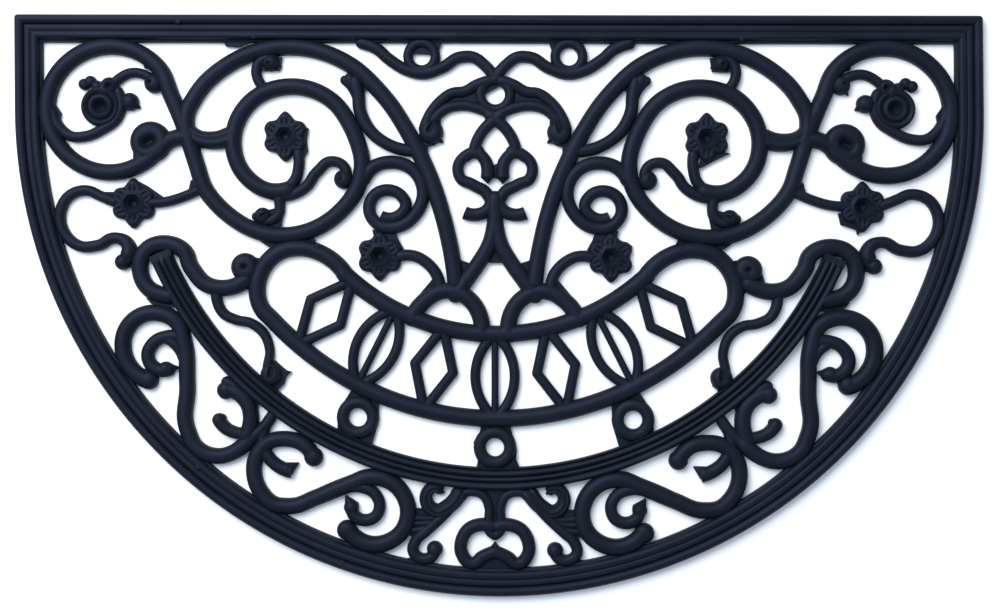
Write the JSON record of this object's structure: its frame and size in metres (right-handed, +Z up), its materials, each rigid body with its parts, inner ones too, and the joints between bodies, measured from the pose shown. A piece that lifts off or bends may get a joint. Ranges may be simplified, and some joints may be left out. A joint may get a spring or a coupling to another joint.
{
  "type": "half round rubber doormat",
  "caption": "Half round open-work doormat, moulded in one piece of black rubber with scrolls, flowers and rings inside a reeded rim.",
  "frame": {"origin": "centre of the mat's bounding box at the level of its flat underside", "axes": "+X along the straight edge, +Y towards the straight edge, +Z up out of the floor"},
  "size_m": [0.7632, 0.457, 0.0095],
  "materials": {
    "rubber": "matt blue-black moulded recycled rubber, slightly grainy"
  },
  "bodies": {
    "root": {"mat": "rubber"}
  },
  "joints": []
}
